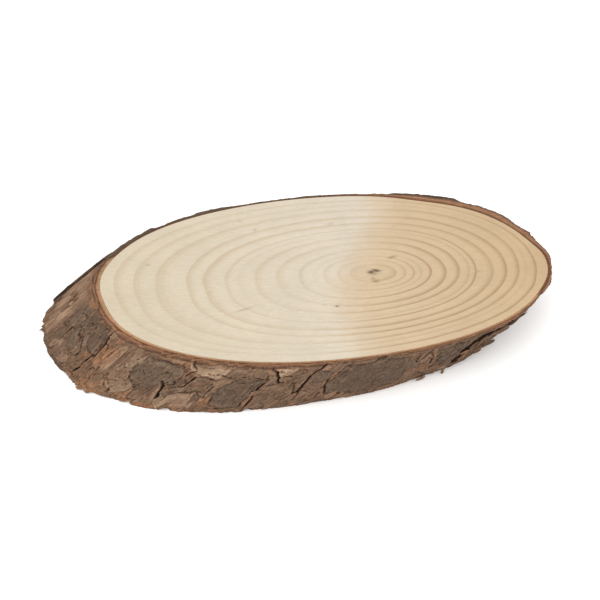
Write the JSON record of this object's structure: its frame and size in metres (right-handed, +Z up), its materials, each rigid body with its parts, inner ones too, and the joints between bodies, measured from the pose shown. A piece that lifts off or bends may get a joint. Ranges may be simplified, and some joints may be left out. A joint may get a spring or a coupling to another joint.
{
  "type": "wood slice",
  "caption": "Oblique slice of a small log with its bark left on: a flat oval disc of pale ringed wood inside a slanting band of rough brown bark.",
  "frame": {"origin": "middle of the slice's box in plan, on the surface it lies on", "axes": "+X along the long way of the oval, towards the end whose bark is undercut; +Z up, out of the upper cut face; +Y to the far side"},
  "size_m": [0.2674, 0.1573, 0.025],
  "materials": {
    "wood": "sanded, unfinished",
    "bark": "rough, natural"
  },
  "bodies": {
    "root": {"wood": "wood", "bark": "bark"}
  },
  "joints": []
}
